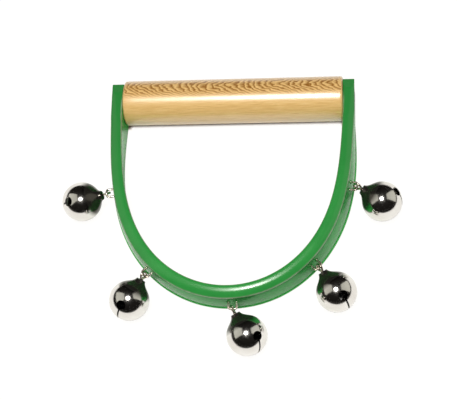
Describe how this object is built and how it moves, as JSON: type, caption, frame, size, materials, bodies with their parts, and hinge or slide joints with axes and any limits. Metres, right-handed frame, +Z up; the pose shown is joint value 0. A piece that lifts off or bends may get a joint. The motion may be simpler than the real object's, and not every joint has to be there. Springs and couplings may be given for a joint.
{
  "type": "hand jingle",
  "caption": "D-shaped hand jingle: turned wooden grip across a bent plastic band, with round bells hung on wire staples around its outer face.",
  "frame": {"origin": "under the middle of the part's box, on the surface the instrument lies on", "axes": "+X along the wooden grip, +Y from the foot of the U towards the grip, +Z up, square to the plane of the band"},
  "size_m": [0.164, 0.1392, 0.022],
  "materials": {
    "wood": "clear lacquered, light honey with darker grain",
    "plastic": "glossy moulded green",
    "nickel": "bright nickel plate",
    "wire": "bright plated wire, slightly warm",
    "steel": "zinc plated steel"
  },
  "bodies": {
    "frame": {"handle": "wood", "band": "plastic", "screw_left": "steel", "screw_right": "steel", "staple_1": "wire", "staple_2": "wire", "staple_3": "wire", "staple_4": "wire", "staple_5": "wire"},
    "loop_1": {"bell_loop_1": "wire"},
    "bell_1": {"bell_shell_1": "nickel"},
    "pellet_1": {"pellet_1": "steel"},
    "loop_2": {"bell_loop_2": "wire"},
    "bell_2": {"bell_shell_2": "nickel"},
    "pellet_2": {"pellet_2": "steel"},
    "loop_3": {"bell_loop_3": "wire"},
    "bell_3": {"bell_shell_3": "nickel"},
    "pellet_3": {"pellet_3": "steel"},
    "loop_4": {"bell_loop_4": "wire"},
    "bell_4": {"bell_shell_4": "nickel"},
    "pellet_4": {"pellet_4": "steel"},
    "loop_5": {"bell_loop_5": "wire"},
    "bell_5": {"bell_shell_5": "nickel"},
    "pellet_5": {"pellet_5": "steel"}
  },
  "joints": [
    {"name": "bell_1_swing", "type": "hinge", "parent": "frame", "child": "loop_1", "pos_m": [-0.05964, 0.00927, 0.01384], "axis": [-0.1852, 0.9827, 0], "range_deg": [-34, 84]},
    {"name": "bell_1_spin", "type": "hinge", "parent": "loop_1", "child": "bell_1", "pos_m": [-0.0725, 0.00696, 0.00955], "axis": [0.9351, 0.1678, 0.3122], "continuous": true},
    {"name": "pellet_1_roll", "type": "hinge", "parent": "bell_1", "child": "pellet_1", "pos_m": [-0.0725, 0.00696, 0.00955], "axis": [0.9351, 0.1678, 0.3122], "continuous": true},
    {"name": "bell_2_swing", "type": "hinge", "parent": "frame", "child": "loop_2", "pos_m": [-0.03923, -0.03197, 0.01335], "axis": [-0.7152, 0.699, 0], "range_deg": [-34, 84]},
    {"name": "bell_2_spin", "type": "hinge", "parent": "loop_2", "child": "bell_2", "pos_m": [-0.0462, -0.04319, 0.00955], "axis": [0.507, 0.8164, 0.2765], "continuous": true},
    {"name": "pellet_2_roll", "type": "hinge", "parent": "bell_2", "child": "pellet_2", "pos_m": [-0.0462, -0.04319, 0.00955], "axis": [0.507, 0.8164, 0.2765], "continuous": true},
    {"name": "bell_3_swing", "type": "hinge", "parent": "frame", "child": "loop_3", "pos_m": [0.00317, -0.04857, 0.013], "axis": [-0.9988, -0.0493, 0], "range_deg": [-34, 84]},
    {"name": "bell_3_spin", "type": "hinge", "parent": "loop_3", "child": "bell_3", "pos_m": [0.00979, -0.06012, 0.00955], "axis": [-0.4814, 0.8398, 0.2511], "continuous": true},
    {"name": "pellet_3_roll", "type": "hinge", "parent": "bell_3", "child": "pellet_3", "pos_m": [0.00979, -0.06012, 0.00955], "axis": [-0.4814, 0.8398, 0.2511], "continuous": true},
    {"name": "bell_4_swing", "type": "hinge", "parent": "frame", "child": "loop_4", "pos_m": [0.04312, -0.02883, 0.01341], "axis": [-0.6655, -0.7464, 0], "range_deg": [-34, 84]},
    {"name": "bell_4_spin", "type": "hinge", "parent": "loop_4", "child": "bell_4", "pos_m": [0.05093, -0.03947, 0.00955], "axis": [-0.5679, 0.7737, 0.2808], "continuous": true},
    {"name": "pellet_4_roll", "type": "hinge", "parent": "bell_4", "child": "pellet_4", "pos_m": [0.05093, -0.03947, 0.00955], "axis": [-0.5679, 0.7737, 0.2808], "continuous": true},
    {"name": "bell_5_swing", "type": "hinge", "parent": "frame", "child": "loop_5", "pos_m": [0.06091, 0.01114, 0.01384], "axis": [-0.1684, -0.9857, 0], "range_deg": [-34, 84]},
    {"name": "bell_5_spin", "type": "hinge", "parent": "loop_5", "child": "bell_5", "pos_m": [0.07248, 0.00507, 0.00955], "axis": [-0.8412, 0.4416, 0.312], "continuous": true},
    {"name": "pellet_5_roll", "type": "hinge", "parent": "bell_5", "child": "pellet_5", "pos_m": [0.07248, 0.00507, 0.00955], "axis": [-0.8412, 0.4416, 0.312], "continuous": true}
  ]
}
